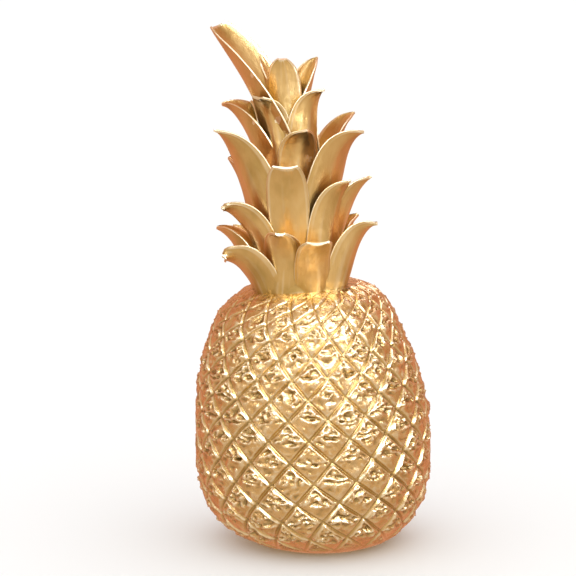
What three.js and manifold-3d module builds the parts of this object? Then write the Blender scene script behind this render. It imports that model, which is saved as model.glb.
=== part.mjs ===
// Pineapple ornament cast in one piece: a fruit body covered in diamond scales, standing on its
// flat underside, with a crown of thick curling leaves.
// Millimetres, +Z up. The origin is the centre of the flat underside and the front faces -Y.
// A turn is an angle about the vertical in degrees, 0 at the front and 90 at the right (+X).
import * as THREE from 'three';
import { mergeVertices } from 'three/addons/utils/BufferGeometryUtils.js';
import Module from 'manifold-3d';

// Overall sizes
const bodyHeight = 149; // underside to the foot of the crown
const bodyWidth = 136; // widest diameter, over the scales
const baseWidth = 70; // diameter of the flat underside
const crownHeight = 151; // foot of the crown to the tip of the tallest leaf
const crownLean = 4.3; // degrees that the crown leans to the left

// The body's outline, as shares of its height and of its greatest radius, above the underside
const bodyOutline = [
  [0.02, 0.632],
  [0.054, 0.743],
  [0.107, 0.86],
  [0.2, 0.956],
  [0.336, 1],
  [0.47, 0.997],
  [0.604, 0.963],
  [0.725, 0.904],
  [0.819, 0.824],
  [0.899, 0.75],
  [0.953, 0.654],
  [0.993, 0.551],
  [1.02, 0.382],
];
// The body's middle drifts to the left as it rises, as shares of the body's height
const bodyDrift = [
  [0, 0],
  [0.134, -0.0235],
  [0.4, -0.028],
  [0.7, -0.044],
  [0.87, -0.054],
  [1, -0.034],
];

// Diamond scales
const scalesAround = 18;
const grooveDepth = 1.9; // below the highest point of a scale
const shoulderDepth = 0.5; // the scale's left and right shoulders, below its highest point
const brinkDepth = 0.5; // the scale's top and bottom, below its highest point
const pitDepth = 1.2; // the small pit above the scale's hooked lip
const scaleInset = 0.14; // width of the groove's slope, as a share of a scale's side
const lipPlace = 0.44; // height of the lip up the scale, as a share of the scale's height
const pitPlace = 0.6;
// Heights of the rows of groove crossings, half a scale apart, as shares of the body's height
const rowHeights = [
  0, 0.025, 0.08, 0.161, 0.238, 0.319, 0.403, 0.487, 0.567,
  0.644, 0.721, 0.795, 0.862, 0.919, 0.962, 0.996, 1.018,
];
const lowestRow = -3.5; // rows are counted in whole scales from the one round the belly
const highestRow = lowestRow + (rowHeights.length - 1) / 2;
const rowTilt = 0.024; // the rows run round slightly askew, as a share of the body's height
const rowTiltTurn = 20;
const lowFade = 1; // rows above the underside over which the tilt and the carving fade in
const highFade = 0.5; // the same, below the hidden top
// The columns of scales twist with height, and are wider at the front low down
const columnTurn = -2;
const columnTwist = 1.3;
const columnTwistRow = 0.2;
const frontSpread = 0.02;
const frontSpreadByRow = -0.035;

// The crown's foot stands a little further left than the body's top, as a share of the body's height
const crownDrift = -0.08;
// The crown's core, as shares of the crown's height: height above its foot, and radius
const coreOutline = [
  [-0.06, 0.195],
  [0.01, 0.187],
  [0.34, 0.133],
  [0.54, 0.1],
  [0.8, 0.02],
];
const coreSides = 10;

// The leaves, in hundredths of the crown's height. Each stands on the core at a turn and a height
// (root), and its tip lies to the right, behind and above the crown's foot. Lean and curl are the
// angles from the vertical at root and tip, in degrees. The optional ones are in leafDefaults.
const leafDefaults = {
  lean: 10,
  curl: 60,
  fullness: 2, // how long the leaf keeps its width before it runs to its tip
  blunt: 0, // width of a cut tip, as a share of the leaf's width
  cup: 0.18, // depth of the hollow inner face, as a share of the leaf's width
  twist: 0, // degrees that the tip is turned about the leaf's own middle line
  sink: 1.3, // depth of the root in the core
  bow: 0.35, // length of the curl, as a share of the leaf's length
};
const frontLeaves = [
  { turn: -50, root: -2, tip: [-29.2, -16.6, 15], width: 19.5, lean: 17, curl: 100, fullness: 2.8 },
  {
    turn: -25, root: -2, tip: [-7.4, -29, 25.6], width: 15.6,
    lean: 5, curl: 66, fullness: 3.4, blunt: 0.25, bow: 0.32,
  },
  {
    turn: 16, root: -2, tip: [6.8, -31.5, 22.6], width: 14,
    lean: 2, curl: 55, fullness: 6, blunt: 0.65, bow: 0.32,
  },
  {
    turn: 55, root: -2, tip: [29.2, -10.6, 26.5], width: 17.5,
    lean: 21, curl: 84, fullness: 2.6, cup: 0.25, bow: 0.3,
  },
  { turn: 98, root: 0.7, tip: [22.4, 7.9, 26.6], width: 18, lean: 12, cup: 0.35, twist: -15 },
  {
    turn: -90, root: 2, tip: [-31.7, 5.3, 22], width: 20,
    lean: 27, curl: 80, fullness: 2.4, cup: 0.35, twist: 15, bow: 0.25,
  },
  {
    turn: -46, root: 6, tip: [-29.5, -14.6, 33], width: 16,
    lean: 3, curl: 97, fullness: 3.2, sink: 2, bow: 0.3,
  },
  {
    turn: -10, root: 4, tip: [-5.6, -24.5, 50], width: 16,
    lean: 2, curl: 35, fullness: 5, blunt: 0.6, bow: 0.3,
  },
  { turn: 35, root: 4, tip: [19, -16.5, 43.8], width: 17.5, lean: 6, curl: 74, fullness: 2.6, bow: 0.25 },
  {
    turn: 62, root: 10.6, tip: [27, -5.3, 43.4], width: 16.5,
    lean: 12, curl: 64, fullness: 2.4, cup: 0.25, sink: 2.5, bow: 0.22,
  },
  { turn: -44, root: 19.2, tip: [-32.1, -14.6, 62.6], width: 22.5, lean: 30, curl: 70, sink: 3, bow: 0.3 },
  {
    turn: -90, root: 17.2, tip: [-27.3, 7, 48.5], width: 18,
    lean: 17, curl: 65, fullness: 4, cup: 0.35, twist: 15, bow: 0.22,
  },
  { turn: 4, root: 30.5, tip: [2.6, -16.6, 62.9], width: 15, lean: 5, fullness: 4 },
  {
    turn: 48, root: 25, tip: [24, -8.5, 61], width: 24,
    lean: 15, curl: 80, fullness: 2.5, sink: 0.5, bow: 0.28,
  },
  {
    turn: 98, root: 30.5, tip: [20.9, 9.3, 65.6], width: 18.5,
    lean: 12, curl: 63, cup: 0.33, twist: -20, sink: 3, bow: 0.26,
  },
  {
    turn: -88, root: 37.1, tip: [-29.6, 7.9, 68.9], width: 20.5,
    lean: 10, curl: 88, fullness: 2.3, cup: 0.5, twist: 20, sink: 3, bow: 0.24,
  },
  { turn: -25, root: 42.4, tip: [-16, -11.9, 74.3], width: 14, fullness: 4, blunt: 0.4, sink: 0.8 },
  {
    turn: 25, root: 42.4, tip: [9.2, -7.9, 76.8], width: 15.5,
    lean: 7, curl: 75, fullness: 2.5, sink: 0.8, bow: 0.28,
  },
  {
    turn: -2, root: 55, tip: [-6.8, -7.9, 88.3], width: 13,
    lean: 0, curl: 22, fullness: 4.5, blunt: 0.3, bow: 0.28,
  },
  {
    turn: 90, root: 55, tip: [6.7, 6.6, 87.1], width: 17,
    lean: 7, curl: 43, cup: 0.36, twist: -25, sink: 4.5, bow: 0.25,
  },
  {
    turn: -60, root: 58.9, tip: [-15.3, 4, 88.7], width: 9,
    lean: 0, curl: 20, fullness: 3, cup: 0.3, twist: 30, sink: 2,
  },
];
// The tallest leaf, a folded blade that leans far out to the left
const tallLeaf = {
  turn: -94, root: 51, tip: [-32.2, 10.6, 98.2], width: 28.5,
  lean: 16, curl: 36, fullness: 2.5, blunt: 0.42, cup: 0.36, twist: 8, sink: 6, bow: 0.27,
};
// Plainer tiers of leaves round the back, each leaf straight out at its own turn
const backTiers = [
  { turns: [128, 164, 200, 236], root: -1.3, reach: 29.1, rise: 20.5, width: 17.2, lean: 12, curl: 80 },
  { turns: [145, 182, 218], root: 8.6, reach: 25.2, rise: 39.1, width: 16.6, lean: 10, curl: 75 },
  { turns: [128, 166, 206], root: 23.2, reach: 21.2, rise: 55, width: 15.9, lean: 10, curl: 72 },
  { turns: [142, 188, 232], root: 37.7, reach: 17.2, rise: 69.5, width: 14.6, lean: 8, curl: 70 },
  { turns: [150, 205], root: 51, reach: 8.6, rise: 80.1, width: 11.3, lean: 4, curl: 45 },
];
const leafThickness = 3; // at the middle of the root
const edgeThinning = 0.6; // share of the thickness lost at the leaf's edges
const tipThinning = 0.45; // share of the thickness lost at the tip
const leafRootWidth = 0.85; // width at the root, as a share of the leaf's greatest width
const widestPlace = 0.4; // how far up the leaf it is widest
const pointWidth = 0.8; // a leaf's point is no narrower than this
const rootPull = 0.4; // how far the lean at the root carries up the leaf
const leafSteps = 6; // rings of points along a leaf
const outerPoints = 4; // points across its outer face
const innerPoints = 3;
const shortestEdge = 0.25; // shorter edges in the finished mesh are closed up
const thinnestFace = 1e-5; // no face is left with less area than this by it
const closingPasses = 3;
const sameVertex = 1e-3; // vertices nearer to each other than this are one

const wasm = await Module();
wasm.setup();

// A smooth curve through [x, y] points that never overshoots them, held level past its ends.
function smoothCurve(points) {
  const slopes = points.slice(1).map(([x, y], i) => (y - points[i][1]) / (x - points[i][0]));
  const tangents = points.map((_, i) => {
    const before = slopes[Math.max(i - 1, 0)];
    const after = slopes[Math.min(i, slopes.length - 1)];
    return before * after <= 0 ? 0 : (2 * before * after) / (before + after);
  });
  const first = points[0];
  const last = points[points.length - 1];
  return (x) => {
    if (x <= first[0]) return first[1];
    if (x >= last[0]) return last[1];
    const i = points.findIndex((point) => point[0] > x) - 1;
    const span = points[i + 1][0] - points[i][0];
    const t = (x - points[i][0]) / span;
    return (
      points[i][1] * (1 + 2 * t) * (1 - t) ** 2 +
      points[i + 1][1] * (3 - 2 * t) * t ** 2 +
      tangents[i] * span * t * (1 - t) ** 2 +
      tangents[i + 1] * span * (t - 1) * t ** 2
    );
  };
}

// The horizontal direction at a turn.
function outward(turn) {
  const angle = THREE.MathUtils.degToRad(turn);
  return new THREE.Vector3(Math.sin(angle), -Math.cos(angle), 0);
}

const coordinatesOf = (points) => points.flatMap((point) => point.toArray());

// A closed mesh as a solid that can be joined, from its vertices' coordinates and its faces' corners.
function toSolid(coordinates, corners) {
  const vertProperties = Float32Array.from(coordinates);
  const triVerts = Uint32Array.from(corners);
  return new wasm.Manifold(new wasm.Mesh({ numProp: 3, vertProperties, triVerts }));
}

function toGeometry(coordinates, corners) {
  const geometry = new THREE.BufferGeometry();
  geometry.setAttribute('position', new THREE.BufferAttribute(coordinates, 3));
  return geometry.setIndex(new THREE.BufferAttribute(Uint32Array.from(corners), 1));
}

const bodyTop = bodyOutline[bodyOutline.length - 1][0] * bodyHeight;
const outlineRadius = smoothCurve([
  [0, baseWidth / 2],
  ...bodyOutline.map(([rise, share]) => [rise * bodyHeight, (share * bodyWidth) / 2]),
]);
const driftAt = smoothCurve(bodyDrift.map(([rise, drift]) => [rise * bodyHeight, drift * bodyHeight]));
const rowHeightAt = smoothCurve(rowHeights.map((rise, i) => [lowestRow + i / 2, rise * bodyHeight]));

// A point on the body at a place round it (counted in scales) and a row, below the outline.
function bodyPoint(place, row, depth) {
  const evenTurn = (360 / scalesAround) * place;
  const spread = frontSpread + frontSpreadByRow * row;
  const bulge = THREE.MathUtils.radToDeg(spread * Math.sin(THREE.MathUtils.degToRad(evenTurn)));
  const turn = evenTurn + bulge + columnTurn + columnTwist * (row - columnTwistRow) ** 2;
  const rowsInside = Math.min((row - lowestRow) / lowFade, (highestRow - row) / highFade);
  const fade = THREE.MathUtils.clamp(rowsInside, 0, 1);
  const tilt = rowTilt * bodyHeight * Math.sin(THREE.MathUtils.degToRad(turn + rowTiltTurn));
  const height = THREE.MathUtils.clamp(rowHeightAt(row) + tilt * fade, 0, bodyTop);

  // The outward direction square to the outline
  const step = bodyHeight / 500;
  const slope = (outlineRadius(height + step) - outlineRadius(height - step)) / (2 * step);
  const normal = outward(turn).setZ(-slope).normalize();
  const middle = new THREE.Vector3(driftAt(height), 0, height);
  return middle.addScaledVector(outward(turn), outlineRadius(height)).addScaledVector(normal, -depth * fade);
}

// The fruit body: one diamond after another, closed by the flat underside and a hidden top.
function fruitSolid() {
  const points = [];
  const triangles = [];
  const known = new Map();
  // Vertices are shared between neighbouring diamonds, also where the last meets the first
  function vertex(place, row, depth) {
    const wrapped = ((place % scalesAround) + scalesAround) % scalesAround;
    const key = `${Math.round(wrapped * 1000) % (scalesAround * 1000)} ${Math.round(row * 1000)}`;
    if (!known.has(key)) {
      known.set(key, points.length);
      points.push(bodyPoint(wrapped, row, depth));
    }
    return known.get(key);
  }
  const inner = 0.5 - scaleInset;
  const underside = points.push(new THREE.Vector3(0, 0, 0)) - 1;
  const hiddenTop = points.push(new THREE.Vector3(driftAt(bodyTop), 0, bodyTop)) - 1;

  for (let row = lowestRow; row <= highestRow; row += 0.5) {
    for (let column = 0; column < scalesAround; column += 1) {
      const place = column + (Number.isInteger(row) ? 0.5 : 0);
      const left = vertex(place - 0.5, row, grooveDepth);
      const right = vertex(place + 0.5, row, grooveDepth);
      const innerLeft = vertex(place - inner, row, shoulderDepth);
      const innerRight = vertex(place + inner, row, shoulderDepth);
      if (row > lowestRow) {
        const bottom = vertex(place, row - 0.5, grooveDepth);
        const innerBottom = vertex(place, row - inner, brinkDepth);
        triangles.push([left, bottom, innerBottom], [left, innerBottom, innerLeft]);
        triangles.push([bottom, right, innerRight], [bottom, innerRight, innerBottom]);
        if (row === highestRow) {
          triangles.push([innerLeft, innerBottom, innerRight]);
          triangles.push([left, innerLeft, hiddenTop], [innerLeft, innerRight, hiddenTop]);
          triangles.push([innerRight, right, hiddenTop]);
        } else {
          const lip = vertex(place, row + lipPlace - 0.5, 0);
          triangles.push([innerLeft, innerBottom, lip], [innerBottom, innerRight, lip]);
        }
      }
      if (row < highestRow) {
        const top = vertex(place, row + 0.5, grooveDepth);
        const innerTop = vertex(place, row + inner, brinkDepth);
        triangles.push([right, top, innerTop], [right, innerTop, innerRight]);
        triangles.push([top, left, innerLeft], [top, innerLeft, innerTop]);
        if (row === lowestRow) {
          triangles.push([innerLeft, innerRight, innerTop]);
          triangles.push([innerLeft, left, underside], [innerRight, innerLeft, underside]);
          triangles.push([right, innerRight, underside]);
        } else {
          const lip = vertex(place, row + lipPlace - 0.5, 0);
          const pit = vertex(place, row + pitPlace - 0.5, pitDepth);
          triangles.push([innerLeft, lip, pit], [lip, innerRight, pit]);
          triangles.push([innerLeft, pit, innerTop], [pit, innerRight, innerTop]);
        }
      }
    }
  }
  return toSolid(coordinatesOf(points), triangles.flat());
}

const crownFoot = new THREE.Vector3(crownDrift * bodyHeight, 0, bodyHeight);
const coreRadius = smoothCurve(coreOutline.map(([rise, share]) => [rise * crownHeight, share * crownHeight]));

// The middle of the crown at a height above its foot.
function crownMiddle(rise) {
  const sideways = -rise * Math.tan(THREE.MathUtils.degToRad(crownLean));
  return crownFoot.clone().add(new THREE.Vector3(sideways, 0, rise));
}

// Rings of points joined into a closed tube with flat ends.
function tubeSolid(rings) {
  const count = rings[0].length;
  const triangles = [];
  for (let ring = 0; ring < rings.length - 1; ring += 1) {
    for (let side = 0; side < count; side += 1) {
      const here = ring * count + side;
      const next = ring * count + ((side + 1) % count);
      triangles.push([here, next, next + count], [here, next + count, here + count]);
    }
  }
  const lastRing = (rings.length - 1) * count;
  for (let side = 1; side < count - 1; side += 1) {
    triangles.push([0, side + 1, side], [lastRing, lastRing + side, lastRing + side + 1]);
  }
  return toSolid(coordinatesOf(rings.flat()), triangles.flat());
}

function coreSolid() {
  const rings = coreOutline.map(([share]) => {
    const rise = share * crownHeight;
    const turns = Array.from({ length: coreSides }, (_, side) => (side * 360) / coreSides);
    return turns.map((turn) => crownMiddle(rise).addScaledVector(outward(turn), coreRadius(rise)));
  });
  return tubeSolid(rings);
}

// A leaf: a cupped, tapering blade along a curve from its root to its tip.
function leafSolid(settings) {
  const leaf = { ...leafDefaults, ...settings };
  const unit = crownHeight / 100;
  const rootRise = leaf.root * unit;
  const rootReach = coreRadius(rootRise) - leaf.sink * unit;
  const root = crownMiddle(rootRise).addScaledVector(outward(leaf.turn), rootReach);
  const tip = crownFoot.clone().addScaledVector(new THREE.Vector3(...leaf.tip), unit);
  const fromMiddle = tip.clone().sub(crownMiddle(leaf.tip[2] * unit));
  const tipTurn = THREE.MathUtils.radToDeg(Math.atan2(fromMiddle.x, -fromMiddle.y));
  const turnChange = THREE.MathUtils.euclideanModulo(tipTurn - leaf.turn + 180, 360) - 180;

  const leaning = (turn, lean) => {
    const angle = THREE.MathUtils.degToRad(lean);
    return outward(turn).multiplyScalar(Math.sin(angle)).setZ(Math.cos(angle));
  };
  const length = root.distanceTo(tip);
  const middleLine = new THREE.CubicBezierCurve3(
    root,
    root.clone().addScaledVector(leaning(leaf.turn, leaf.lean), length * rootPull),
    tip.clone().addScaledVector(leaning(tipTurn, leaf.curl), -length * leaf.bow),
    tip,
  );

  const rings = [];
  for (let step = 0; step < leafSteps; step += 1) {
    const t = step / (leafSteps - 1);
    const centre = middleLine.getPoint(t);
    const along = middleLine.getTangent(t);
    const facing = outward(leaf.turn + turnChange * t);
    facing.addScaledVector(along, -facing.dot(along)).normalize();
    facing.applyAxisAngle(along, -THREE.MathUtils.degToRad(leaf.twist * t));
    const across = new THREE.Vector3().crossVectors(along, facing);

    const swelling = leafRootWidth + (1 - leafRootWidth) * Math.sin((Math.PI / 2) * (t / widestPlace));
    const tipward = Math.max(t - widestPlace, 0) / (1 - widestPlace);
    const taper = leaf.blunt + (1 - leaf.blunt) * (1 - tipward ** leaf.fullness);
    const width = Math.max(leaf.width * unit * (t < widestPlace ? swelling : taper), pointWidth);
    const thickness = leafThickness * (1 - tipThinning * t);
    const cup = leaf.cup * (1 - t / 2) * width;
    const facePoints = (count, side) =>
      Array.from({ length: count }, (_, i) => {
        const place = side * ((2 * i) / (count - 1) - 1);
        const depth = (side * thickness * (1 - edgeThinning * place ** 2)) / 2 - cup * place ** 2;
        return centre
          .clone()
          .addScaledVector(across, (place * width) / 2)
          .addScaledVector(facing, depth);
      });
    rings.push([...facePoints(outerPoints, 1), ...facePoints(innerPoints, -1)]);
  }
  return tubeSolid(rings);
}

// The back tiers' leaves, with their tips straight out from the crown's middle.
function tierLeaves({ turns, reach, rise, ...rest }) {
  return turns.map((turn) => {
    const sideways = -rise * Math.tan(THREE.MathUtils.degToRad(crownLean));
    const tip = outward(turn).multiplyScalar(reach).add(new THREE.Vector3(sideways, 0, rise));
    return { ...rest, turn, tip: tip.toArray() };
  });
}

// Short edges, left where two leaves' faces barely cross, are closed up, with every face that stays
// still facing its own way and the skin still closed. The result is the remaining faces' corners.
function closeShortEdges({ vertProperties, triVerts, numVert, numTri }) {
  const points = Array.from({ length: numVert }, (_, i) => {
    return new THREE.Vector3().fromArray(vertProperties, 3 * i);
  });
  const faces = Array.from({ length: numTri }, (_, i) => [...triVerts.slice(3 * i, 3 * i + 3)]);
  const around = points.map(() => new Set());
  faces.forEach((face, index) => face.forEach((corner) => around[corner].add(index)));
  const neighbours = (corner) => new Set([...around[corner]].flatMap((index) => faces[index]));
  const areaNormal = ([a, b, c]) => {
    const first = points[b].clone().sub(points[a]);
    return first.cross(points[c].clone().sub(points[a]));
  };
  const canClose = (keep, drop) => {
    const shared = [...neighbours(keep)].filter((corner) => neighbours(drop).has(corner));
    if (shared.length !== 4) return false;
    return [...around[drop]]
      .filter((index) => !faces[index].includes(keep))
      .every((index) => {
        const moved = faces[index].map((corner) => (corner === drop ? keep : corner));
        const normal = areaNormal(moved);
        return normal.length() > thinnestFace && normal.dot(areaNormal(faces[index])) >= 0;
      });
  };
  const close = (keep, drop) => {
    for (const index of [...around[drop]]) {
      if (faces[index].includes(keep)) {
        faces[index].forEach((corner) => around[corner].delete(index));
        faces[index] = [];
      } else {
        faces[index] = faces[index].map((corner) => (corner === drop ? keep : corner));
        around[keep].add(index);
      }
    }
    around[drop].clear();
  };
  for (let pass = 0; pass < closingPasses; pass += 1) {
    for (const index of faces.keys()) {
      for (let side = 0; side < 3 && faces[index].length > 0; side += 1) {
        const keep = faces[index][side];
        const drop = faces[index][(side + 1) % 3];
        if (points[keep].distanceTo(points[drop]) > shortestEdge) continue;
        if (canClose(keep, drop)) close(keep, drop);
        else if (canClose(drop, keep)) close(drop, keep);
      }
    }
  }
  return faces.flat();
}

function pineapple() {
  const leaves = [...frontLeaves, tallLeaf, ...backTiers.flatMap(tierLeaves)];
  let solid = fruitSolid().add(coreSolid());
  for (const leaf of leaves) solid = solid.add(leafSolid(leaf));
  const joined = solid.getMesh();
  const cleaned = mergeVertices(toGeometry(joined.vertProperties, closeShortEdges(joined)), sameVertex);

  // The skin that encloses most is the outer one. The others are sealed pockets between the leaves'
  // roots, which the cast fills
  const skins = toSolid(cleaned.attributes.position.array, cleaned.index.array).decompose();
  const outerSkin = skins.reduce((most, skin) => (skin.volume() > most.volume() ? skin : most)).getMesh();
  const geometry = toGeometry(outerSkin.vertProperties, outerSkin.triVerts);
  geometry.computeVertexNormals();
  const goldPaint = new THREE.MeshStandardMaterial({ color: 0xd2a35c, metalness: 1, roughness: 0.35 });
  const mesh = new THREE.Mesh(geometry, goldPaint);
  mesh.name = 'pineapple';
  return mesh;
}

const ornament = new THREE.Group();
ornament.add(pineapple());

export default ornament;
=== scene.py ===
"""The looks of the gold-painted pineapple ornament: its carved scales, its leaves, its paint and
the studio round it. Lengths are millimetres until a mesh is made, in the frame of the CAD part:
+Z up, the front towards -Y, and a turn is 0 at the front and 90 degrees at the right (+X)."""
import math

import bpy
import numpy as np
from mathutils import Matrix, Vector, noise


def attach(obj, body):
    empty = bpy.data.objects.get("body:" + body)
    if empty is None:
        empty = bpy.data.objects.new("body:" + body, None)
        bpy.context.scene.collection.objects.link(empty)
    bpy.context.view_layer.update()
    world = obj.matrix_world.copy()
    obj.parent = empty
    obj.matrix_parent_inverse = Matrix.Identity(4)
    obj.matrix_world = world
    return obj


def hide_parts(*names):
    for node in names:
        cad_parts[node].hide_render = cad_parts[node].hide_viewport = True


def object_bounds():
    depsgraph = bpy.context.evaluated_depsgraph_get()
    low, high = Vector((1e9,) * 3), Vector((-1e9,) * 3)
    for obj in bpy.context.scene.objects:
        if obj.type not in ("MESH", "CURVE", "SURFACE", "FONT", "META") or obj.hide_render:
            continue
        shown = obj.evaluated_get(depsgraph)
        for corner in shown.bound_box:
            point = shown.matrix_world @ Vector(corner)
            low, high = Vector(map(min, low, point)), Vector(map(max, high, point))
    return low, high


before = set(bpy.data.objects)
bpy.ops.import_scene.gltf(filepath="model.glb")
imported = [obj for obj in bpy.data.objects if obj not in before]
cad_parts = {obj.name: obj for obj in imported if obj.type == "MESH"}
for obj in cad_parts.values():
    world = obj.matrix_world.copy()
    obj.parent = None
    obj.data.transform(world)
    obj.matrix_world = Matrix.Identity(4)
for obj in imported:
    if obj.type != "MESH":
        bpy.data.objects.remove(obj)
cad_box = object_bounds()

# Overall sizes, the same as the part's
BODY_HEIGHT = 149
BODY_WIDTH = 136
BASE_WIDTH = 70
CROWN_HEIGHT = 151
CROWN_LEAN = 4.3  # degrees that the crown leans to the left

# The body's outline, as shares of its height and of its greatest radius, above the underside
BODY_OUTLINE = [
    (0.02, 0.632), (0.054, 0.743), (0.107, 0.86), (0.2, 0.956), (0.336, 1), (0.47, 0.997), (0.604, 0.963),
    (0.725, 0.904), (0.819, 0.824), (0.899, 0.75), (0.953, 0.654), (0.993, 0.551), (1.02, 0.382),
]
# The body's middle drifts to the left as it rises, as shares of the body's height
BODY_DRIFT = [(0, 0), (0.134, -0.0235), (0.4, -0.028), (0.7, -0.044), (0.87, -0.054), (1, -0.034)]
BODY_TOP = BODY_OUTLINE[-1][0] * BODY_HEIGHT
SLOPE_STEP = BODY_HEIGHT / 500  # how far up and down the outline's slope is measured

# The lattice of scales
SCALES_AROUND = 18
# Heights of the rows of groove crossings, half a scale apart, as shares of the body's height
ROW_HEIGHTS = [
    0, 0.025, 0.08, 0.161, 0.238, 0.319, 0.403, 0.487, 0.567,
    0.644, 0.721, 0.795, 0.862, 0.919, 0.962, 0.996, 1.018,
]
LOWEST_ROW = -3.5  # rows are counted in whole scales from the one round the belly
HIGHEST_ROW = LOWEST_ROW + (len(ROW_HEIGHTS) - 1) / 2
ROW_TILT = 0.024  # the rows run round slightly askew, as a share of the body's height
ROW_TILT_TURN = 20
LOW_FADE = 1  # rows above the underside over which the tilt and the carving fade in
HIGH_FADE = 0.5  # the same, below the hidden top
# The columns of scales twist with height, and are wider at the front low down
COLUMN_TURN = -2
COLUMN_TWIST = 1.3
COLUMN_TWIST_ROW = 0.2
FRONT_SPREAD = 0.02
FRONT_SPREAD_BY_ROW = -0.035

# The crown's foot stands a little further left than the body's top, as a share of the body's height
CROWN_DRIFT = -0.08
# The crown's core, as shares of the crown's height: height above its foot, and radius
CORE_OUTLINE = [(-0.06, 0.195), (0.01, 0.187), (0.34, 0.133), (0.54, 0.1), (0.8, 0.02)]

# The leaves, in hundredths of the crown's height. Each stands on the core at a turn and a height
# (root), and its tip lies to the right, behind and above the crown's foot. Lean and curl are the
# angles from the vertical at root and tip, in degrees. The optional ones are in LEAF_DEFAULTS.
LEAF_DEFAULTS = dict(
    lean=10,
    curl=60,
    fullness=2,  # how long the leaf keeps its width before it runs to its tip
    blunt=0,  # width of a cut tip, as a share of the leaf's width
    cup=0.18,  # depth of the hollow inner face, as a share of the leaf's width
    twist=0,  # degrees that the tip is turned about the leaf's own middle line
    sink=1.3,  # depth of the root in the core
    bow=0.35,  # length of the curl, as a share of the leaf's length
)
FRONT_LEAVES = [
    dict(turn=-50, root=-2, tip=(-29.2, -16.6, 15), width=19.5, lean=17, curl=100, fullness=2.8),
    dict(
        turn=-25, root=-2, tip=(-7.4, -29, 25.6), width=15.6,
        lean=5, curl=66, fullness=3.4, blunt=0.25, bow=0.32,
    ),
    dict(
        turn=16, root=-2, tip=(6.8, -31.5, 22.6), width=14,
        lean=2, curl=55, fullness=6, blunt=0.65, bow=0.32,
    ),
    dict(
        turn=55, root=-2, tip=(29.2, -10.6, 26.5), width=17.5,
        lean=21, curl=84, fullness=2.6, cup=0.25, bow=0.3,
    ),
    dict(turn=98, root=0.7, tip=(22.4, 7.9, 26.6), width=18, lean=12, cup=0.35, twist=-15),
    dict(
        turn=-90, root=2, tip=(-31.7, 5.3, 22), width=20,
        lean=27, curl=80, fullness=2.4, cup=0.35, twist=15, bow=0.25,
    ),
    dict(
        turn=-46, root=6, tip=(-29.5, -14.6, 33), width=16,
        lean=3, curl=97, fullness=3.2, sink=2, bow=0.3,
    ),
    dict(
        turn=-10, root=4, tip=(-5.6, -24.5, 50), width=16,
        lean=2, curl=35, fullness=5, blunt=0.6, bow=0.3,
    ),
    dict(turn=35, root=4, tip=(19, -16.5, 43.8), width=17.5, lean=6, curl=74, fullness=2.6, bow=0.25),
    dict(
        turn=62, root=10.6, tip=(27, -5.3, 43.4), width=16.5,
        lean=12, curl=64, fullness=2.4, cup=0.25, sink=2.5, bow=0.22,
    ),
    dict(turn=-44, root=19.2, tip=(-32.1, -14.6, 62.6), width=22.5, lean=30, curl=70, sink=3, bow=0.3),
    dict(
        turn=-90, root=17.2, tip=(-27.3, 7, 48.5), width=18,
        lean=17, curl=65, fullness=4, cup=0.35, twist=15, bow=0.22,
    ),
    dict(turn=4, root=30.5, tip=(2.6, -16.6, 62.9), width=15, lean=5, fullness=4),
    dict(
        turn=48, root=25, tip=(24, -8.5, 61), width=24,
        lean=15, curl=80, fullness=2.5, sink=0.5, bow=0.28,
    ),
    dict(
        turn=98, root=30.5, tip=(20.9, 9.3, 65.6), width=18.5,
        lean=12, curl=63, cup=0.33, twist=-20, sink=3, bow=0.26,
    ),
    dict(
        turn=-88, root=37.1, tip=(-29.6, 7.9, 68.9), width=20.5,
        lean=10, curl=88, fullness=2.3, cup=0.5, twist=20, sink=3, bow=0.24,
    ),
    dict(turn=-25, root=42.4, tip=(-16, -11.9, 74.3), width=14, fullness=4, blunt=0.4, sink=0.8),
    dict(
        turn=25, root=42.4, tip=(9.2, -7.9, 76.8), width=15.5,
        lean=7, curl=75, fullness=2.5, sink=0.8, bow=0.28,
    ),
    dict(
        turn=-2, root=55, tip=(-6.8, -7.9, 88.3), width=13,
        lean=0, curl=22, fullness=4.5, blunt=0.3, bow=0.28,
    ),
    dict(
        turn=90, root=55, tip=(6.7, 6.6, 87.1), width=17,
        lean=7, curl=43, cup=0.36, twist=-25, sink=4.5, bow=0.25,
    ),
    dict(
        turn=-60, root=58.9, tip=(-15.3, 4, 88.7), width=9,
        lean=0, curl=20, fullness=3, cup=0.3, twist=30, sink=2,
    ),
    dict(
        turn=-94, root=51, tip=(-32.2, 10.6, 98.2), width=28.5,
        lean=16, curl=36, fullness=2.5, blunt=0.42, cup=0.36, twist=8, sink=6, bow=0.27,
    ),
]
# The plainer leaves behind, whose tips lie at a reach straight out from the crown's middle
BACK_TIERS = [
    dict(turns=(128, 164, 200, 236), root=-1.3, reach=29.1, rise=20.5, width=17.2, lean=12, curl=80),
    dict(turns=(145, 182, 218), root=8.6, reach=25.2, rise=39.1, width=16.6, lean=10, curl=75),
    dict(turns=(128, 166, 206), root=23.2, reach=21.2, rise=55, width=15.9, lean=10, curl=72),
    dict(turns=(142, 188, 232), root=37.7, reach=17.2, rise=69.5, width=14.6, lean=8, curl=70),
    dict(turns=(150, 205), root=51, reach=8.6, rise=80.1, width=11.3, lean=4, curl=45),
]
LEAF_THICKNESS = 3  # at the middle of the root
EDGE_THINNING = 0.6  # share of the thickness lost at the leaf's edges
TIP_THINNING = 0.45  # share of the thickness lost at the tip
LEAF_ROOT_WIDTH = 0.85  # width at the root, as a share of the leaf's greatest width
WIDEST_PLACE = 0.4  # how far up the leaf it is widest
POINT_WIDTH = 0.8  # a leaf's point is no narrower than this
ROOT_PULL = 0.4  # how far the lean at the root carries up the leaf


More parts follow.
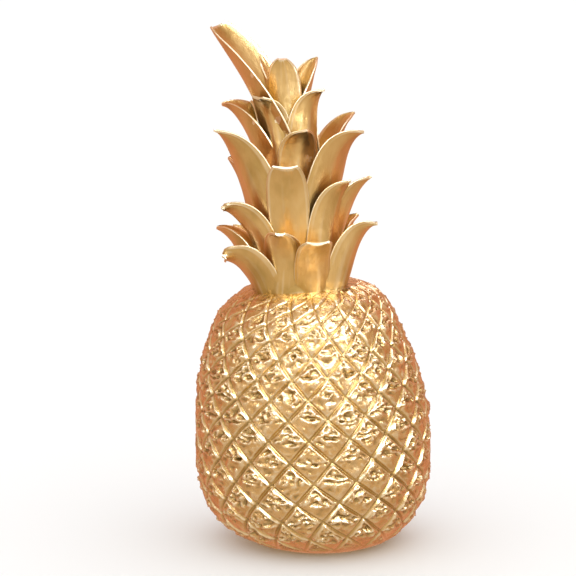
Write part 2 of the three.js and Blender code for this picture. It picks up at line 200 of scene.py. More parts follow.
# Curves, noise and meshes
def smooth_curve(points):
    """A smooth curve through points that never overshoots them, held level past its ends."""
    xs, ys = np.array(points, float).T
    slopes = np.diff(ys) / np.diff(xs)
    before = np.concatenate([slopes[:1], slopes])
    after = np.concatenate([slopes, slopes[-1:]])
    total = before + after
    tangents = np.where(before * after <= 0, 0, 2 * before * after / np.where(total == 0, 1, total))

    def value(x):
        x = np.clip(x, xs[0], xs[-1])
        i = np.clip(np.searchsorted(xs, x, side="right") - 1, 0, len(xs) - 2)
        span = xs[i + 1] - xs[i]
        t = (x - xs[i]) / span
        return (
            ys[i] * (1 + 2 * t) * (1 - t) ** 2
            + ys[i + 1] * (3 - 2 * t) * t**2
            + tangents[i] * span * t * (1 - t) ** 2
            + tangents[i + 1] * span * (t - 1) * t**2
        )

    return value


def outward(turn):
    """The horizontal direction at a turn in degrees."""
    angle = np.radians(turn)
    return np.stack([np.sin(angle), -np.cos(angle), np.zeros_like(angle)], -1)


def bell(x, width):
    """A bump of height 1 at 0 that dies away over about twice a width."""
    return np.exp(-((x / width) ** 2))


def ramp(x, low, high):
    """A smooth step from 0 at the low end to 1 at the high end."""
    t = np.clip((x - low) / (high - low), 0, 1)
    return t * t * (3 - 2 * t)


def noise_at(points, size):
    """Smooth noise from about -1 to 1, with lumps of about a size in millimetres."""
    return np.array([noise.noise(point) for point in (points / size).tolist()])


def new_object(name, points, faces):
    """An object in the scene made of points in millimetres and the faces between them."""
    mesh = bpy.data.meshes.new(name)
    mesh.from_pydata((np.asarray(points) / 1000).tolist(), [], faces)
    mesh.update()
    piece = bpy.data.objects.new(name, mesh)
    bpy.context.scene.collection.objects.link(piece)
    return piece


def apply_modifiers(piece):
    """Turns an object's modifiers into its own mesh."""
    evaluated = piece.evaluated_get(bpy.context.evaluated_depsgraph_get())
    old = piece.data
    made = bpy.data.meshes.new_from_object(evaluated)
    piece.modifiers.clear()
    piece.data = made
    made.name = old.name
    bpy.data.meshes.remove(old)


def thin_out(piece, most):
    """Brings a mesh under a number of triangles where it is flattest."""
    triangles = sum(len(face.vertices) - 2 for face in piece.data.polygons)
    if triangles > most:
        modifier = piece.modifiers.new("thinning", "DECIMATE")
        modifier.ratio = most / triangles
        apply_modifiers(piece)


def keep_in_box(piece):
    """Presses the few points that stand out of the CAD part's box back onto it."""
    count = len(piece.data.vertices)
    points = np.empty(count * 3, np.float32)
    piece.data.vertices.foreach_get("co", points)
    low, high = (np.array(corner, np.float32) for corner in cad_box)
    points = np.clip(points.reshape(-1, 3), low + 1e-6, high - 1e-6)
    piece.data.vertices.foreach_set("co", points.ravel())
    piece.data.update()


def shade_smooth(piece, sharp_degrees):
    """Smooth shading, apart from edges that turn by more than an angle."""
    piece.data.shade_smooth()
    piece.data.set_sharp_from_angle(angle=math.radians(sharp_degrees))


# The fruit. On one scale, u runs from its left corner (-1) to its right one (1), and v from its foot (-1)
# to its top (1). Distances from its borders are shares of its side, and depths are millimetres
SCALE_STEPS = 40  # steps of the mesh along a scale's side
GATHERING = 0.03  # how far the mesh's points gather towards the borders
MOST_FRUIT_TRIANGLES = 197_000
FRUIT_SHARP_ANGLE = 80
SEED = 7
FULL_SCALE_HEIGHT = 24  # smaller scales are carved less deep than scales of this height
LEAST_CARVING = 0.35
UNDERSIDE_RINGS = (0.65, 0.3)  # radii in the flat underside, as shares of its own

GROOVE_DEPTH = 0.7
GROOVE_SIDE = (0.02, 0.075)
PILLOW_DEPTH = 1.5  # how far a scale falls off to its borders
PILLOW_SIDE = (-0.1, 0.17)
CORNER_SHARPNESS = 7  # how closely the pillow follows the corners
MOST_NOISE_SHIFT = 90  # each scale has a piece of the noise up to this far from its place
BEND = 1.6  # how far the wrinkles are bent
# Sizes of the lumps in the noise: what bends the wrinkles, the wrinkles, the fine ones, and what they ride on
SWAY_SIZE = 5.5
CROSS_SWAY_SIZE = 4.3
RIDGE_SIZE = 6
CREASE_SIZE = 2.8
LUMP_SIZE = 3.4
SWELL_SIZE = 6
RIDGE_FLATTENING = 1.7  # ridges are this many times as long sideways as up
LIP_WIDTH = 0.05
SLOT_DEPTH = 1.1  # some scales have a slot behind their lip
SLOT_PLACE = 0.12
SLOT_WIDTH = 0.045
CRATERS = 2  # small pits with raised rims in the upper half of a scale
FLUTE_PITCH = 0.075
FLUTE_DEPTH = 0.24
# The fine lines along a scale's upper borders: distance from them, width and height
EDGE_LINES = [(0.1, 0.022, 0.45), (0.165, 0.02, 0.4), (0.225, 0.02, 0.35)]

outline_radius = smooth_curve(
    [(0, BASE_WIDTH / 2)] + [(rise * BODY_HEIGHT, share * BODY_WIDTH / 2) for rise, share in BODY_OUTLINE]
)
drift_at = smooth_curve([(rise * BODY_HEIGHT, drift * BODY_HEIGHT) for rise, drift in BODY_DRIFT])
row_height_at = smooth_curve([(LOWEST_ROW + i / 2, rise * BODY_HEIGHT) for i, rise in enumerate(ROW_HEIGHTS)])


def body_points(place, row, relief):
    """Points on the body at places round it (in scales) and rows, raised by a relief."""
    even_turn = 360 / SCALES_AROUND * place
    spread = FRONT_SPREAD + FRONT_SPREAD_BY_ROW * row
    bulge = np.degrees(spread * np.sin(np.radians(even_turn)))
    turn = even_turn + bulge + COLUMN_TURN + COLUMN_TWIST * (row - COLUMN_TWIST_ROW) ** 2
    fade = np.clip(np.minimum((row - LOWEST_ROW) / LOW_FADE, (HIGHEST_ROW - row) / HIGH_FADE), 0, 1)
    tilt = ROW_TILT * BODY_HEIGHT * np.sin(np.radians(turn + ROW_TILT_TURN))
    height = np.clip(row_height_at(row) + tilt * fade, 0, BODY_TOP)
    slope = (outline_radius(height + SLOPE_STEP) - outline_radius(height - SLOPE_STEP)) / (2 * SLOPE_STEP)
    normal = outward(turn)
    normal[..., 2] = -slope
    normal /= np.linalg.norm(normal, axis=-1, keepdims=True)
    points = outward(turn) * outline_radius(height)[..., None] + normal * (relief * fade)[..., None]
    points[..., 0] += drift_at(height)
    points[..., 2] += height
    return points


def crater(u, v, knob, size, depth):
    """The relief and the hollowness of a pit with a raised rim in the upper half of each scale."""
    reach = np.hypot(u - knob(-0.42, 0.42), (v - knob(0.08, 0.5)) * knob(1, 1.7)) / size
    hollowness = bell(reach, 0.75)
    return -depth * hollowness + 0.45 * depth * bell(reach - 1.15, 0.3), hollowness


def craters(u, v, knob):
    """The relief and the hollowness of all the craters of each scale."""
    relief = np.zeros_like(u)
    hollowness = np.zeros_like(u)
    for _ in range(CRATERS):
        one_relief, one_hollowness = crater(u, v, knob, knob(0.12, 0.26), knob(0.2, 0.9))
        relief += one_relief
        hollowness = np.maximum(hollowness, one_hollowness)
    return relief, hollowness


def flutes(v, borders, lumps, knob):
    """Ripples beside one of the two upper borders of each scale."""
    right_side = knob(-1, 1) > -0.35
    across = np.where(right_side, borders[0], borders[1]) + 0.012 * lumps
    ripples = FLUTE_DEPTH * np.sin(2 * np.pi * across / FLUTE_PITCH)
    return ripples * (knob(0, 1) * ramp(0.42 - across, 0, 0.12) * ramp(v, -0.1, 0.15))


def edge_lines(upper_edge, sway, knob):
    """Fine raised lines along the upper borders, of which all but the first differ in strength."""
    lines = np.zeros_like(upper_edge)
    for number, (place, width, height) in enumerate(EDGE_LINES):
        strength = knob(0, 1) if number > 0 else 1
        lines += height * bell(upper_edge - place, width) * strength
    patchiness = np.clip(0.75 + 0.8 * sway, 0.1, 1.3)
    return patchiness * lines


def carve(u, v, borders, knob, points):
    """The relief of the scales over the outline in millimetres, with how hollow each point is, the mask of
    the painted shade in the grooves, slots and pits, and how creased it is. The borders are the distances
    from the upper right, upper left, lower left and lower right ones, and a knob gives each scale its own
    value between two."""
    edge = np.min(borders, axis=0)
    upper_edge = np.minimum(borders[0], borders[1])
    soft_edge = -np.log(np.exp(-CORNER_SHARPNESS * borders).sum(axis=0)) / CORNER_SHARPNESS

    shift = np.stack([knob(-MOST_NOISE_SHIFT, MOST_NOISE_SHIFT).ravel() for _ in range(3)], 1)
    scale_points = points + shift

    def noise_field(size, flattening=1.0, bend=0.0):
        return noise_at(scale_points * (1, 1, flattening) + bend, size).reshape(u.shape)

    sway = noise_field(SWAY_SIZE)
    bend = np.stack([sway.ravel(), -sway.ravel(), noise_field(CROSS_SWAY_SIZE).ravel()], 1) * BEND
    ridges = 0.6 - 2.6 * np.abs(noise_field(RIDGE_SIZE, RIDGE_FLATTENING, bend))
    creases = 0.6 - 2.6 * np.abs(noise_field(CREASE_SIZE, 1, bend))
    lumps = noise_field(LUMP_SIZE, 1, bend)
    swells = noise_field(SWELL_SIZE)

    # The smooth lower half ends in a ragged lip, and the creased upper half lies behind it
    lip_v = knob(-0.32, -0.02) + knob(0.1, 0.5) * (u - knob(-0.3, 0.3)) ** 2 + 0.1 * sway + 0.04 * lumps
    over_lip = v - lip_v
    upper = ramp(over_lip, -0.03, 0.1)
    inside = ramp(edge, 0.06, 0.17)
    lip = knob(0.2, 0.5) * bell(over_lip - 0.02, LIP_WIDTH) * ramp(0.8 - np.abs(u), 0, 0.3)
    slot_reach = np.hypot((u - knob(-0.35, 0.35)) / knob(0.16, 0.4), (over_lip - SLOT_PLACE) / SLOT_WIDTH)
    slot = bell(slot_reach, 0.9) * (knob(-1, 1) > 0.5)
    below = np.clip(-over_lip / 0.85, 0, 1)
    above = np.clip((v - 0.3) / 0.6, 0, 1)
    slope = -0.35 * below**1.3 - 0.35 * above
    pits, pit_hollowness = craters(u, v, knob)
    ripples = flutes(v, borders, lumps, knob)
    lines = edge_lines(upper_edge, sway, knob)

    creased = 1.9 * ridges + 0.5 * creases + 0.8 * lumps
    wrinkles = creased * (0.8 + 0.4 * swells) * (0.3 + 0.7 * upper) + (1 - upper) * 0.4 * lumps
    pillow = -PILLOW_DEPTH * (1 - ramp(soft_edge, *PILLOW_SIDE)) ** 1.3
    groove = -GROOVE_DEPTH * (1 - ramp(edge, *GROOVE_SIDE))
    relief = groove + pillow + lines + inside * (
        lip - SLOT_DEPTH * slot + slope + pits * upper + ripples + wrinkles + 0.3 * swells - 0.1
    )
    # how much painted shade darkens the groove bottoms, the slots and the pits
    hollow_shade = np.maximum(0.8 * slot, 0.35 * pit_hollowness)
    hollow_shade = np.maximum(1 - ramp(edge, 0.015, 0.07), inside * hollow_shade * upper)
    return relief, hollow_shade, inside * (0.35 + 0.65 * upper)


def following(ids):
    """The next point round the ring for each of its points."""
    return np.roll(ids, -1)


def grid_faces(index):
    """Diamonds between rings of points of which every other one is half a step on, with triangles at
    both ends."""
    faces = []
    for low in range(len(index) - 2):
        middle = index[low + 1]
        left, right = (np.roll(middle, 1), middle) if low % 2 == 0 else (middle, following(middle))
        faces += np.stack([index[low], right, index[low + 2], left], 1).tolist()
    foot, summit = index[0], index[-1]
    faces += np.stack([foot, following(foot), index[1]], 1).tolist()
    faces += np.stack([index[-2], following(summit), summit], 1).tolist()
    return faces


def fruit_piece():
    """The fruit's skin as one grid along both diagonals of the scales, closed below and above."""
    half_rows = len(ROW_HEIGHTS) - 1
    rings = half_rows * SCALE_STEPS + 1
    around = SCALES_AROUND * SCALE_STEPS
    ring, k = np.meshgrid(np.arange(rings), np.arange(around), indexing="ij")
    sideways = 2 * k + ring % 2
    rising, falling = (ring + sideways) // 2, (ring - sideways) // 2
    cell_s, cell_t = rising // SCALE_STEPS, falling // SCALE_STEPS
    s, t = rising % SCALE_STEPS / SCALE_STEPS, falling % SCALE_STEPS / SCALE_STEPS
    s, t = (share - GATHERING * np.sin(2 * np.pi * share) for share in (s, t))
    place = (cell_s + s - cell_t - t + 1) / 2
    row = (cell_s + s + cell_t + t) / 2 + LOWEST_ROW
    column, level = (cell_s - cell_t) % (2 * SCALES_AROUND), cell_s + cell_t
    chance = np.random.default_rng(SEED)

    def knob(low, high):
        return chance.uniform(low, high, (2 * SCALES_AROUND, half_rows + 1))[column, level]

    smooth = body_points(place, row, np.zeros_like(place)).reshape(-1, 3)
    relief, hollow_shade, creased = carve(s - t, s + t - 1, np.stack([1 - s, 1 - t, s, t]), knob, smooth)
    scale_height = np.gradient(row_height_at(row[:, 0]), row[:, 0])
    relief = relief * np.clip(scale_height / FULL_SCALE_HEIGHT, LEAST_CARVING, 1)[:, None]
    points = body_points(place, row, relief).reshape(-1, 3)

    index = np.arange(rings * around).reshape(rings, around)
    foot, summit = index[0], index[-1]
    faces = grid_faces(index)
    # The flat underside, in two rings and a fan, and the top that the crown hides
    inner = len(points) + np.arange(len(UNDERSIDE_RINGS) * around).reshape(-1, around)
    for outer_ring, inner_ring in zip((foot, *inner), inner):
        underside = [following(outer_ring), outer_ring, inner_ring, following(inner_ring)]
        faces += np.stack(underside, 1).tolist()
    foot_centre = inner[-1, -1] + 1
    top_centre = foot_centre + 1
    faces += [(b, a, foot_centre) for a, b in zip(inner[-1].tolist(), following(inner[-1]).tolist())]
    faces += [(a, b, top_centre) for a, b in zip(summit.tolist(), following(summit).tolist())]
    underside_points = [points[foot] * share for share in UNDERSIDE_RINGS]
    points = np.concatenate([points, *underside_points, [(0, 0, 0)], points[summit].mean(0, keepdims=True)])
    piece = new_object("fruit", points, faces)
    # hollow marks where the paint is darkened as painted shade in the grooves, slots and pits
    for name, values in (("hollow_shade", hollow_shade), ("creased", creased)):
        values = np.concatenate([values.ravel(), np.zeros(len(points) - values.size)])
        piece.data.attributes.new(name, "FLOAT", "POINT").data.foreach_set("value", values)
    return piece


# The crown
CORE_SIDES = 30
CORE_RINGS = 20
LEAF_RINGS = 44
FACE_POINTS = 21  # points across each face of a leaf
RIM_POINTS = 5  # points round each of its edges
CROWN_SHARP_ANGLE = 42
BEAD = 0.42  # height of the raised line along a leaf's edges
BEAD_PLACE = 0.93  # from the leaf's middle (0) to its edge (1)
BEAD_WIDTH = 0.06
VEIN_DEPTH = 0.22
WAVINESS = 0.7
crown_foot = np.array([CROWN_DRIFT * BODY_HEIGHT, 0, BODY_HEIGHT])
core_radius = smooth_curve([(rise * CROWN_HEIGHT, share * CROWN_HEIGHT) for rise, share in CORE_OUTLINE])


def crown_middle(rise):
    """The middle of the crown at a height above its foot."""
    return crown_foot + np.array([-rise * math.tan(math.radians(CROWN_LEAN)), 0, rise])


def leaning(turn, lean):
    """The upward direction that leans outwards at a turn by an angle from the vertical."""
    angle = math.radians(lean)
    return outward(turn) * math.sin(angle) + np.array([0, 0, math.cos(angle)])


def unit_vector(vector):
    return vector / np.linalg.norm(vector)


def tube(name, rings):
    """Rings of points joined into a closed tube with flat ends."""
    count = len(rings[0])
    faces = []
    for ring in range(len(rings) - 1):
        for side in range(count):
            here, beside = ring * count + side, ring * count + (side + 1) % count
            faces.append((here, beside, beside + count, here + count))
    last = (len(rings) - 1) * count
    faces.append(tuple(range(count - 1, -1, -1)))
    faces.append(tuple(range(last, last + count)))
    return new_object(name, np.concatenate(rings), faces)


def core_piece():
    """The round core that the leaves' roots sink into."""
    turns = np.arange(CORE_SIDES) * 360 / CORE_SIDES
    rises = np.linspace(CORE_OUTLINE[0][0], CORE_OUTLINE[-1][0], CORE_RINGS) * CROWN_HEIGHT
    return tube("core", [crown_middle(rise) + outward(turns) * float(core_radius(rise)) for rise in rises])


def leaf_relief(t, share, number):
    """Beaded edges and shallow veins on the faces of a leaf, and its waves, in millimetres."""
    bead = BEAD * bell(abs(share) - BEAD_PLACE, BEAD_WIDTH)
    vein = VEIN_DEPTH * noise.noise((share * 5, t * 0.9, 7.3 * number)) * (1 - t / 2)
    wave = WAVINESS * noise.noise((share * 1.1, t * 3.2, 3.1 * number + 40)) * min(4 * t, 1)
    return bead + vein, wave


def leaf_width(leaf, t):
    """The width of a leaf at a share of its length, in millimetres."""
    swelling = LEAF_ROOT_WIDTH + (1 - LEAF_ROOT_WIDTH) * math.sin(math.pi / 2 * (t / WIDEST_PLACE))
    tipward = max(t - WIDEST_PLACE, 0) / (1 - WIDEST_PLACE)
    taper = leaf["blunt"] + (1 - leaf["blunt"]) * (1 - tipward ** leaf["fullness"])
    width = leaf["width"] * (CROWN_HEIGHT / 100) * (swelling if t < WIDEST_PLACE else taper)
    return max(width, POINT_WIDTH)


def leaf_section(leaf, t, number):
    """The closed outline across a leaf: each point's place across it and its depth outwards. The outer
    face comes first, then an edge, the inner face and the other edge."""
    width = leaf_width(leaf, t)
    thickness = LEAF_THICKNESS * (1 - TIP_THINNING * t)
    cup = leaf["cup"] * (1 - t / 2) * width
    rim = min(thickness * (1 - EDGE_THINNING) / 2, width / 2)
    section = []
    for side in (1, -1):
        for share in side * np.linspace(-1, 1, FACE_POINTS):
            depth = side * thickness * (1 - EDGE_THINNING * share**2) / 2 - cup * share**2
            relief, wave = leaf_relief(t, share, number)
            section.append((share * (width / 2 - rim), depth + side * relief + wave))
        _, wave = leaf_relief(t, side, number)
        for angle in np.linspace(0, math.pi, RIM_POINTS + 2)[1:-1]:
            outermost = side * (width / 2 - rim + rim * math.sin(angle))
            section.append((outermost, side * rim * math.cos(angle) - cup + wave))
    return section


def leaf_piece(settings, number):
    """A cupped, tapering blade along a curve from its root to its tip, with rounded edges."""
    leaf = {**LEAF_DEFAULTS, **settings}
    unit = CROWN_HEIGHT / 100
    root_rise = leaf["root"] * unit
    reach = float(core_radius(root_rise)) - leaf["sink"] * unit
    root = crown_middle(root_rise) + outward(leaf["turn"]) * reach
    tip = crown_foot + np.array(leaf["tip"]) * unit
    from_middle = tip - crown_middle(leaf["tip"][2] * unit)
    tip_turn = math.degrees(math.atan2(from_middle[0], -from_middle[1]))
    turn_change = (tip_turn - leaf["turn"] + 180) % 360 - 180
    length = np.linalg.norm(tip - root)
    # The curve's four control points
    p0 = root
    p1 = root + leaning(leaf["turn"], leaf["lean"]) * length * ROOT_PULL
    p2 = tip - leaning(tip_turn, leaf["curl"]) * length * leaf["bow"]
    p3 = tip
    rings = []
    for t in np.linspace(0, 1, LEAF_RINGS) ** 0.9:
        centre = (1 - t) ** 3 * p0 + 3 * (1 - t) ** 2 * t * p1 + 3 * (1 - t) * t**2 * p2 + t**3 * p3
        along = unit_vector((1 - t) ** 2 * (p1 - p0) + 2 * (1 - t) * t * (p2 - p1) + t**2 * (p3 - p2))
        facing = outward(leaf["turn"] + turn_change * t)
        facing = unit_vector(facing - along * facing.dot(along))
        across = np.cross(along, facing)
        twist = math.radians(leaf["twist"] * t)
        facing, across = (
            facing * math.cos(twist) - across * math.sin(twist),
            across * math.cos(twist) + facing * math.sin(twist),
        )
        section = leaf_section(leaf, t, number)
        rings.append(np.array([centre + across * x + facing * depth for x, depth in section]))
    return tube("leaf", rings)


def tier_leaves(turns, reach, rise, **rest):
    """The back tiers' leaves, with their tips straight out from the crown's middle."""
    sideways = -rise * math.tan(math.radians(CROWN_LEAN))
    for turn in turns:
        tip = outward(turn) * reach + np.array([sideways, 0, rise])
        yield dict(turn=turn, tip=tuple(tip), **rest)


def join(piece, other):
    """Adds a closed object to another one, so that both are one skin."""
    modifier = piece.modifiers.new("join", "BOOLEAN")
    modifier.operation = "UNION"
    modifier.solver = "MANIFOLD"
    modifier.object = other
    apply_modifiers(piece)
    old = other.data
    bpy.data.objects.remove(other)
    bpy.data.meshes.remove(old)


def crown_piece():
    """The core and all the leaves as one skin."""
    piece = core_piece()
    leaves = FRONT_LEAVES + [leaf for tier in BACK_TIERS for leaf in tier_leaves(**tier)]
    for number, leaf in enumerate(leaves):
        join(piece, leaf_piece(leaf, number))
    piece.name = piece.data.name = "crown"
    return piece


# Shader nodes
def add_node(nodes, kind, inputs=None, **settings):
    """A new node with its settings and the values of its inputs."""
    node = nodes.new(kind)
    for key, value in settings.items():
        setattr(node, key, value)
    for key, value in (inputs or {}).items():
        node.inputs[key].default_value = value
    return node


def noise_node(nodes, links, scale, detail=3, stretch=(1, 1, 1)):
    """Noise in the object's own space, with a scale in lumps to a millimetre."""
    coordinates = add_node(nodes, "ShaderNodeTexCoord")
    mapping = add_node(nodes, "ShaderNodeMapping")
    mapping.inputs["Scale"].default_value = [1000 * factor for factor in stretch]
    texture = add_node(nodes, "ShaderNodeTexNoise", {"Scale": scale, "Detail": detail})
    links.new(coordinates.outputs["Object"], mapping.inputs["Vector"])
    links.new(mapping.outputs["Vector"], texture.inputs["Vector"])
    return texture.outputs["Fac"]


def ramp_node(nodes, links, source, stops):
    """A value turned into colours between stops, each of a value and a colour."""
    ramp_made = add_node(nodes, "ShaderNodeValToRGB")
    elements = ramp_made.color_ramp.elements
    while len(elements) < len(stops):
        elements.new(0.5)
    for element, (position, colour) in zip(elements, stops):
        element.position = position
        element.color = (*colour, 1)
    links.new(source, ramp_made.inputs["Fac"])
    return ramp_made.outputs["Color"]


def map_range(nodes, links, source, low, high, start=0.0, end=1.0):
    """A value that runs from low to high while its source runs from start to end."""
    limits = {"From Min": start, "From Max": end, "To Min": low, "To Max": high}
    node = add_node(nodes, "ShaderNodeMapRange", limits)
    links.new(source, node.inputs["Value"])
    return node.outputs["Result"]


def attribute_value(nodes, name):
    """A value that the mesh holds for each point."""
    return add_node(nodes, "ShaderNodeAttribute", attribute_name=name).outputs["Fac"]


def mix_in(nodes, links, colour, paint, share):
    """A colour with a share of a paint over it."""
    mix = add_node(nodes, "ShaderNodeMix", data_type="RGBA")
    links.new(share, mix.inputs["Factor"])
    links.new(colour, mix.inputs["A"])
    mix.inputs["B"].default_value = (*paint, 1)
    return mix.outputs["Result"]


def bump_chain(nodes, links, shader, layers):
    """Bumps on top of each other: a height source, a distance in millimetres, and a strength that is
    a number or another source."""
    normal = None
    for source, distance, strength in layers:
        bump = add_node(nodes, "ShaderNodeBump", {"Distance": distance / 1000})
        if isinstance(strength, float):
            bump.inputs["Strength"].default_value = strength
        else:
            links.new(strength, bump.inputs["Strength"])
        links.new(source, bump.inputs["Height"])
        if normal:
            links.new(normal, bump.inputs["Normal"])
        normal = bump.outputs["Normal"]
    links.new(normal, shader.inputs["Normal"])


# Gold paint, with painted shade and painted highlights
FRUIT_PAINTS = [(0.3, (0.62, 0.4, 0.17)), (0.5, (0.75, 0.49, 0.21)), (0.72, (0.84, 0.64, 0.39))]
LEAF_PAINTS = [(0.3, (0.54, 0.38, 0.14)), (0.5, (0.74, 0.53, 0.24)), (0.72, (0.85, 0.65, 0.34))]
# painted shade in the grooves, slots and pits
GROOVE_SHADE = (0.62, 0.42, 0.13)
# painted shade in the creases
CREASE_SHADE = (0.29, 0.2, 0.06)
# painted shade in the nooks, where the view out is blocked
NOOK_SHADE = (0.4, 0.3, 0.09)
# painted highlight on the sharp ridges and the leaves' rims
RIDGE_HIGHLIGHT = (1, 0.95, 0.82)
MOST_GROOVE_SHADE = 0.7  # greatest shares of the painted shade in the grooves and creases and of the painted highlight on the ridges
MOST_CREASE_SHADE = 0.85
MOST_RIDGE_HIGHLIGHT = 0.8
NOOK_OPENNESS = (0.2, 0.95)  # the painted shade in a nook fades out between these shares of open view
NOOK_SAMPLES = 8
# settings of the painted shade in creases and nooks and of the painted highlight on ridges
FRUIT_PAINTED_LIGHT = dict(crease=0.028, ridge_highlight=0.045, nook=9, nook_share=0.6)
LEAF_PAINTED_LIGHT = dict(crease=0.06, ridge_highlight=0.03, nook=10, nook_share=0.55)
FRUIT_COAT = 0.85
LEAF_COAT = 0.25
COAT_ROUGHNESS = 0.12
COAT_IOR = 1.8


def painted_shade_and_highlight(nodes, links, colour, crease, ridge_highlight, nook, nook_share):
    """Painted shade in the creases and nooks, and a painted highlight on the sharp ridges. The crease and
    ridge settings say how far from flat (0.5) a crease or a ridge has to be, and nook is in millimetres."""
    sharpness = nodes.new("ShaderNodeNewGeometry").outputs["Pointiness"]
    openness = add_node(nodes, "ShaderNodeAmbientOcclusion", {"Distance": nook / 1000}, samples=NOOK_SAMPLES)
    nook_range = map_range(nodes, links, openness.outputs["AO"], nook_share, 0, *NOOK_OPENNESS)
    crease_range = map_range(nodes, links, sharpness, 0, MOST_CREASE_SHADE, 0.5 - crease / 6, 0.5 - crease)
    ridge_highlight_range = map_range(nodes, links, sharpness, 0, MOST_RIDGE_HIGHLIGHT, 0.5 + ridge_highlight / 6, 0.5 + ridge_highlight)
    # painted shade in the nooks and creases, then a painted highlight on the sharp ridges
    colour = mix_in(nodes, links, colour, NOOK_SHADE, nook_range)
    colour = mix_in(nodes, links, colour, CREASE_SHADE, crease_range)
    return mix_in(nodes, links, colour, RIDGE_HIGHLIGHT, ridge_highlight_range)


def fruit_paint(nodes, links, shader):
    """Painted shade in the grooves, creases and nooks, painted highlights on the sharp ridges, and fine
    unevenness where the scales are creased.
    """
    tone = noise_node(nodes, links, 0.12, 4)
    colour = ramp_node(nodes, links, tone, FRUIT_PAINTS)
    # painted shade in the grooves, slots and pits
    groove_shade = map_range(nodes, links, attribute_value(nodes, "hollow_shade"), 0, MOST_GROOVE_SHADE)
    colour = mix_in(nodes, links, colour, GROOVE_SHADE, groove_shade)
    # painted shade in the creases and nooks and painted highlights on the sharp ridges
    links.new(painted_shade_and_highlight(nodes, links, colour, **FRUIT_PAINTED_LIGHT), shader.inputs["Base Color"])
    rough = noise_node(nodes, links, 0.5, 3)
    links.new(map_range(nodes, links, rough, 0.2, 0.34, 0.3, 0.7), shader.inputs["Roughness"])
    bump_chain(nodes, links, shader, [
        (noise_node(nodes, links, 0.4, 2), 0.35, 0.5),
        (noise_node(nodes, links, 0.75, 3), 0.45, attribute_value(nodes, "creased")),
    ])


def leaf_paint(nodes, links, shader):
    """Tones, brush marks and unevenness that run up the leaves."""
    tone = noise_node(nodes, links, 0.06, 3, (1, 1, 0.5))
    colour = ramp_node(nodes, links, tone, LEAF_PAINTS)
    # painted shade in the creases and nooks and painted highlights on the leaves' sharp rims
    links.new(painted_shade_and_highlight(nodes, links, colour, **LEAF_PAINTED_LIGHT), shader.inputs["Base Color"])
    rough = noise_node(nodes, links, 0.6, 3, (1, 1, 0.15))
    links.new(map_range(nodes, links, rough, 0.28, 0.42, 0.3, 0.7), shader.inputs["Roughness"])
    bump_chain(nodes, links, shader, [
        (noise_node(nodes, links, 0.18, 2), 0.8, 0.4),
        (noise_node(nodes, links, 1.2, 3, (1, 1, 0.12)), 0.16, 0.5),
    ])


def gold_paint(name, build, coat):
    """A gold metal under a clear coat, with the rest of its nodes made by another function."""
    material = bpy.data.materials.new(name)
    material.use_nodes = True
    nodes, links = material.node_tree.nodes, material.node_tree.links
    shader = nodes["Principled BSDF"]
    shader.inputs["Metallic"].default_value = 1
    shader.inputs["Coat Weight"].default_value = coat
    shader.inputs["Coat Roughness"].default_value = COAT_ROUGHNESS
    shader.inputs["Coat IOR"].default_value = COAT_IOR
    build(nodes, links, shader)
    return material


def dress(piece, paint):
    """Gives a piece its paint, its body and its place in the CAD node's stead."""
    piece.data.materials.clear()
    piece.data.materials.append(paint)
    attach(piece, "root")
    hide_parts("pineapple")


# The studio, in metres
CAMERA_PLACE = (-0.01867, -1.95985, 0.54700)
CAMERA_TILT = 11.5
LENS = 217.4
SENSOR_WIDTH = 36
LIGHTS_AIM = (0, 0, 0.15)
# Name, place, size, power and colour
LIGHTS = [
    ("front_box", (0.3, -1.25, 1.08), (1.6, 0.6), 20, (0.94, 0.97, 1)),
    ("overhead", (0.1, 0.1, 1.6), (0.9, 0.7), 4.5, (0.95, 0.97, 1)),
    ("right_box", (1.2, -0.9, 0.7), (0.3, 0.9), 5, (1, 0.97, 0.93)),
    ("left_box", (-1.2, -1.0, 0.6), (0.25, 0.8), 3, (1, 0.97, 0.93)),
    ("back_box", (0.3, 1.3, 1.2), (0.5, 0.4), 3, (1, 0.95, 0.88)),
]
# What the paint mirrors all round, from behind (0) to in front (1)
GLOWS = [
    (0.2, (0.58, 0.25, 0.13)),
    (0.36, (0.52, 0.32, 0.18)),
    (0.6, (0.56, 0.43, 0.28)),
    (1.0, (0.68, 0.55, 0.38)),
]
GLOW_STRENGTH = 1.25
BACKDROP_STRENGTH = 1.0  # what the camera sees behind the floor
AROUND_STRENGTH = 1.16  # what lights the floor and all that is matt
WHITE = (1, 1, 1, 1)
FLOOR_REACH = 4000  # millimetres from its middle
FLOOR_COLOUR = (0.9, 0.9, 0.9, 1)
FLOOR_ROUGHNESS = 0.9


def set_up_camera():
    camera = bpy.data.objects.new("camera", bpy.data.cameras.new("camera"))
    camera.data.lens = LENS
    camera.data.sensor_width = SENSOR_WIDTH
    camera.location = CAMERA_PLACE
    camera.rotation_euler = (math.radians(90 - CAMERA_TILT), 0, 0)
    bpy.context.scene.collection.objects.link(camera)
    bpy.context.scene.camera = camera


def set_up_lights():
    """Soft boxes that show in the paint and leave the matt floor to the surroundings."""
    for name, place, size, power, colour in LIGHTS:
        light = bpy.data.lights.new(name, "AREA")
        light.shape = "RECTANGLE"
        light.size, light.size_y = size
        light.energy = power
        light.color = colour
        lamp = bpy.data.objects.new(name, light)
        lamp.location = place
        lamp.visible_diffuse = False
        lamp.rotation_euler = (Vector(LIGHTS_AIM) - Vector(place)).to_track_quat("-Z", "Y").to_euler()
        bpy.context.scene.collection.objects.link(lamp)


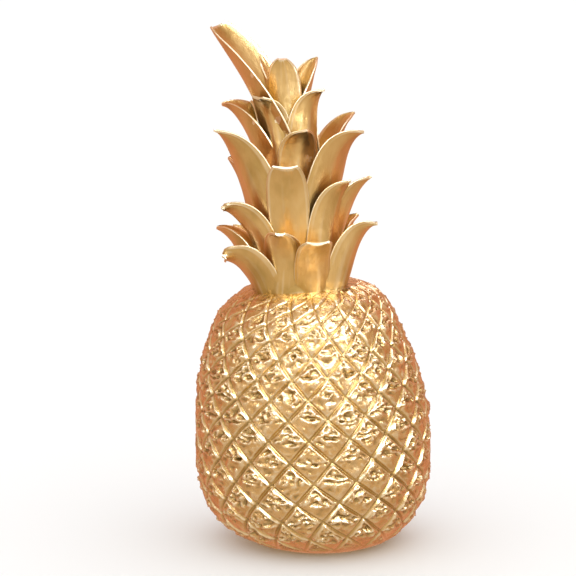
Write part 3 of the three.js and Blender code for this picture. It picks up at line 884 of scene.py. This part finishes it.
def lay_floor():
    """A pale floor that the paint doesn't mirror."""
    near, far = -FLOOR_REACH, FLOOR_REACH
    corners = [(near, near, 0), (far, near, 0), (far, far, 0), (near, far, 0)]
    floor = new_object("floor", corners, [(0, 1, 2, 3)])
    material = bpy.data.materials.new("pale_floor")
    material.use_nodes = True
    shader = material.node_tree.nodes["Principled BSDF"]
    shader.inputs["Base Color"].default_value = FLOOR_COLOUR
    shader.inputs["Roughness"].default_value = FLOOR_ROUGHNESS
    floor.data.materials.append(material)
    floor.visible_glossy = False


def set_up_surroundings():
    """White behind the object and warm glows where it mirrors what is round it."""
    bpy.context.scene.view_settings.view_transform = "Standard"
    world = bpy.data.worlds.new("studio")
    bpy.context.scene.world = world
    world.use_nodes = True
    nodes, links = world.node_tree.nodes, world.node_tree.links
    nodes.clear()
    output = add_node(nodes, "ShaderNodeOutputWorld")
    path = add_node(nodes, "ShaderNodeLightPath")
    seen = add_node(nodes, "ShaderNodeBackground", {"Color": WHITE, "Strength": BACKDROP_STRENGTH})
    around = add_node(nodes, "ShaderNodeBackground", {"Color": WHITE, "Strength": AROUND_STRENGTH})
    coordinates = add_node(nodes, "ShaderNodeTexCoord")
    split = add_node(nodes, "ShaderNodeSeparateXYZ")
    links.new(coordinates.outputs["Generated"], split.inputs["Vector"])
    front = map_range(nodes, links, split.outputs["Y"], 1, 0, -1, 1)
    colour = ramp_node(nodes, links, front, GLOWS)
    mirrored = add_node(nodes, "ShaderNodeBackground", {"Strength": GLOW_STRENGTH})
    links.new(colour, mirrored.inputs["Color"])
    last = around
    for ray, background in (("Is Glossy Ray", mirrored), ("Is Camera Ray", seen)):
        mix = add_node(nodes, "ShaderNodeMixShader")
        links.new(path.outputs[ray], mix.inputs["Fac"])
        links.new(last.outputs[0], mix.inputs[1])
        links.new(background.outputs[0], mix.inputs[2])
        last = mix
    links.new(last.outputs[0], output.inputs["Surface"])


fruit = fruit_piece()
thin_out(fruit, MOST_FRUIT_TRIANGLES)
keep_in_box(fruit)
shade_smooth(fruit, FRUIT_SHARP_ANGLE)
dress(fruit, gold_paint("gold_fruit", fruit_paint, FRUIT_COAT))

crown = crown_piece()
keep_in_box(crown)
shade_smooth(crown, CROWN_SHARP_ANGLE)
dress(crown, gold_paint("gold_leaves", leaf_paint, LEAF_COAT))

set_up_camera()
set_up_lights()
lay_floor()
set_up_surroundings()
